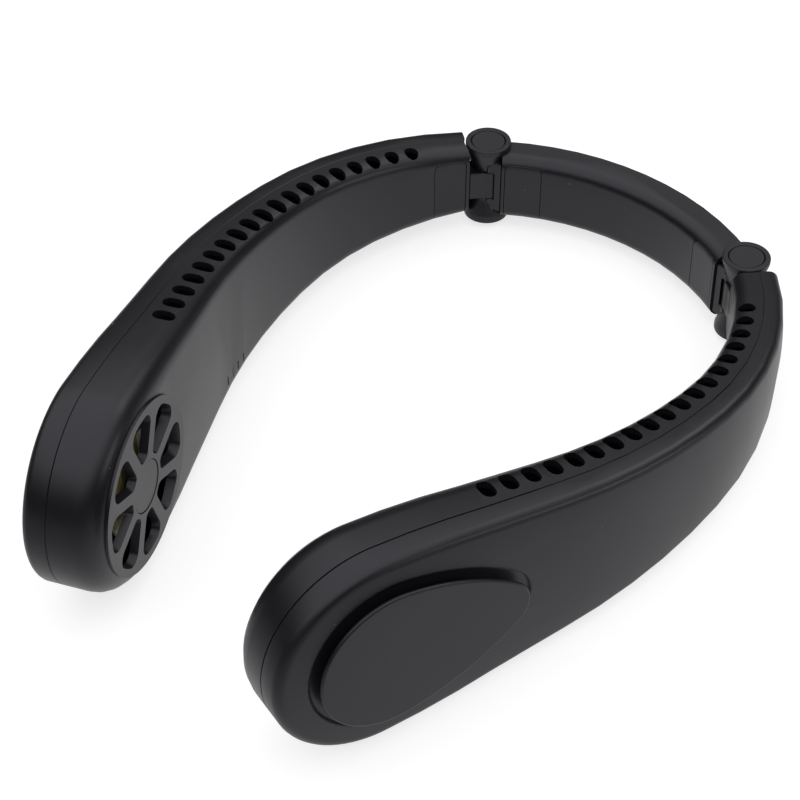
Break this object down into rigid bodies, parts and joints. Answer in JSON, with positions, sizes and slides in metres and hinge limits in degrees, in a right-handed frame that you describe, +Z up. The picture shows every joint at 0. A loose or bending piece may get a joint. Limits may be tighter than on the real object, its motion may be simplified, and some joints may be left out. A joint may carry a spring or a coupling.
{
  "type": "electric neck fan",
  "caption": "Hands-free neck fan: a hinged horseshoe of hollow curved arms with air slots on top and a blower with a petal grille in each flared head.",
  "frame": {"origin": "on the table under the middle of the overall box, as the fan stands on its two heads and its hinge ears", "axes": "+Z up, +X to the wearer's right-hand arm as seen from behind the neck, -Y towards the open front between the heads"},
  "size_m": [0.1704, 0.2316, 0.0637],
  "materials": {
    "shell_plastic": "fine satin charcoal moulding",
    "hinge_plastic": "satin charcoal",
    "cap_plastic": "satin charcoal",
    "cover_plastic": "satin charcoal",
    "plate_plastic": "satin charcoal",
    "disc_plastic": "satin charcoal",
    "pin_steel": "ground",
    "cell_skin": "foil",
    "board_laminate": "olive laminate",
    "motor_steel": "plated",
    "impeller_plastic": "black moulding",
    "guide_plastic": "smoked clear",
    "switch_plastic": "black",
    "port_metal": "plated shell",
    "button_plastic": "satin charcoal"
  },
  "bodies": {
    "back": {"back_inner_shell": "shell_plastic", "back_outer_shell": "shell_plastic", "pack_board": "board_laminate", "left_battery_cell": "cell_skin", "left_clevis": "hinge_plastic", "left_back_screw_cover": "cover_plastic", "left_hinge_pin": "pin_steel", "left_hinge_caps": "cap_plastic", "right_battery_cell": "cell_skin", "right_clevis": "hinge_plastic", "right_back_screw_cover": "cover_plastic", "right_hinge_pin": "pin_steel", "right_hinge_caps": "cap_plastic"},
    "left_arm": {"left_arm_inner_shell": "shell_plastic", "left_arm_outer_shell": "shell_plastic", "left_hinge_tongue": "hinge_plastic", "left_arm_screw_cover": "cover_plastic", "left_cover_plate": "plate_plastic", "left_hub_disc": "disc_plastic", "left_motor_board": "board_laminate", "left_motor_body": "motor_steel", "light_guide": "guide_plastic", "control_board": "board_laminate", "push_switch": "switch_plastic", "charge_port": "port_metal"},
    "left_rotor": {"left_rotor_shaft": "pin_steel", "left_impeller": "impeller_plastic"},
    "right_arm": {"right_arm_inner_shell": "shell_plastic", "right_arm_outer_shell": "shell_plastic", "right_hinge_tongue": "hinge_plastic", "right_arm_screw_cover": "cover_plastic", "right_cover_plate": "plate_plastic", "right_hub_disc": "disc_plastic", "right_motor_board": "board_laminate", "right_motor_body": "motor_steel"},
    "right_rotor": {"right_rotor_shaft": "pin_steel", "right_impeller": "impeller_plastic"},
    "power_button": {"power_button": "button_plastic"}
  },
  "joints": [
    {"name": "left_arm_hinge", "type": "hinge", "parent": "back", "child": "left_arm", "pos_m": [-0.048, 0.09487, 0.01456], "axis": [0, -0.0904, -0.9959], "range_deg": [-6, 30]},
    {"name": "right_arm_hinge", "type": "hinge", "parent": "back", "child": "right_arm", "pos_m": [0.048, 0.09487, 0.01456], "axis": [0, 0.0904, 0.9959], "range_deg": [-6, 30]},
    {"name": "left_fan_spin", "type": "hinge", "parent": "left_arm", "child": "left_rotor", "pos_m": [-0.0459, -0.08361, 0.03197], "axis": [-0.9409, -0.3374, 0.0306], "continuous": true},
    {"name": "right_fan_spin", "type": "hinge", "parent": "right_arm", "child": "right_rotor", "pos_m": [0.0459, -0.08361, 0.03197], "axis": [0.9409, -0.3374, 0.0306], "continuous": true},
    {"name": "power_press", "type": "slide", "parent": "left_arm", "child": "power_button", "axis": [0, 0.0904, 0.9959], "range_m": [0, 0.0006], "stiffness_N_per_m": 300}
  ]
}
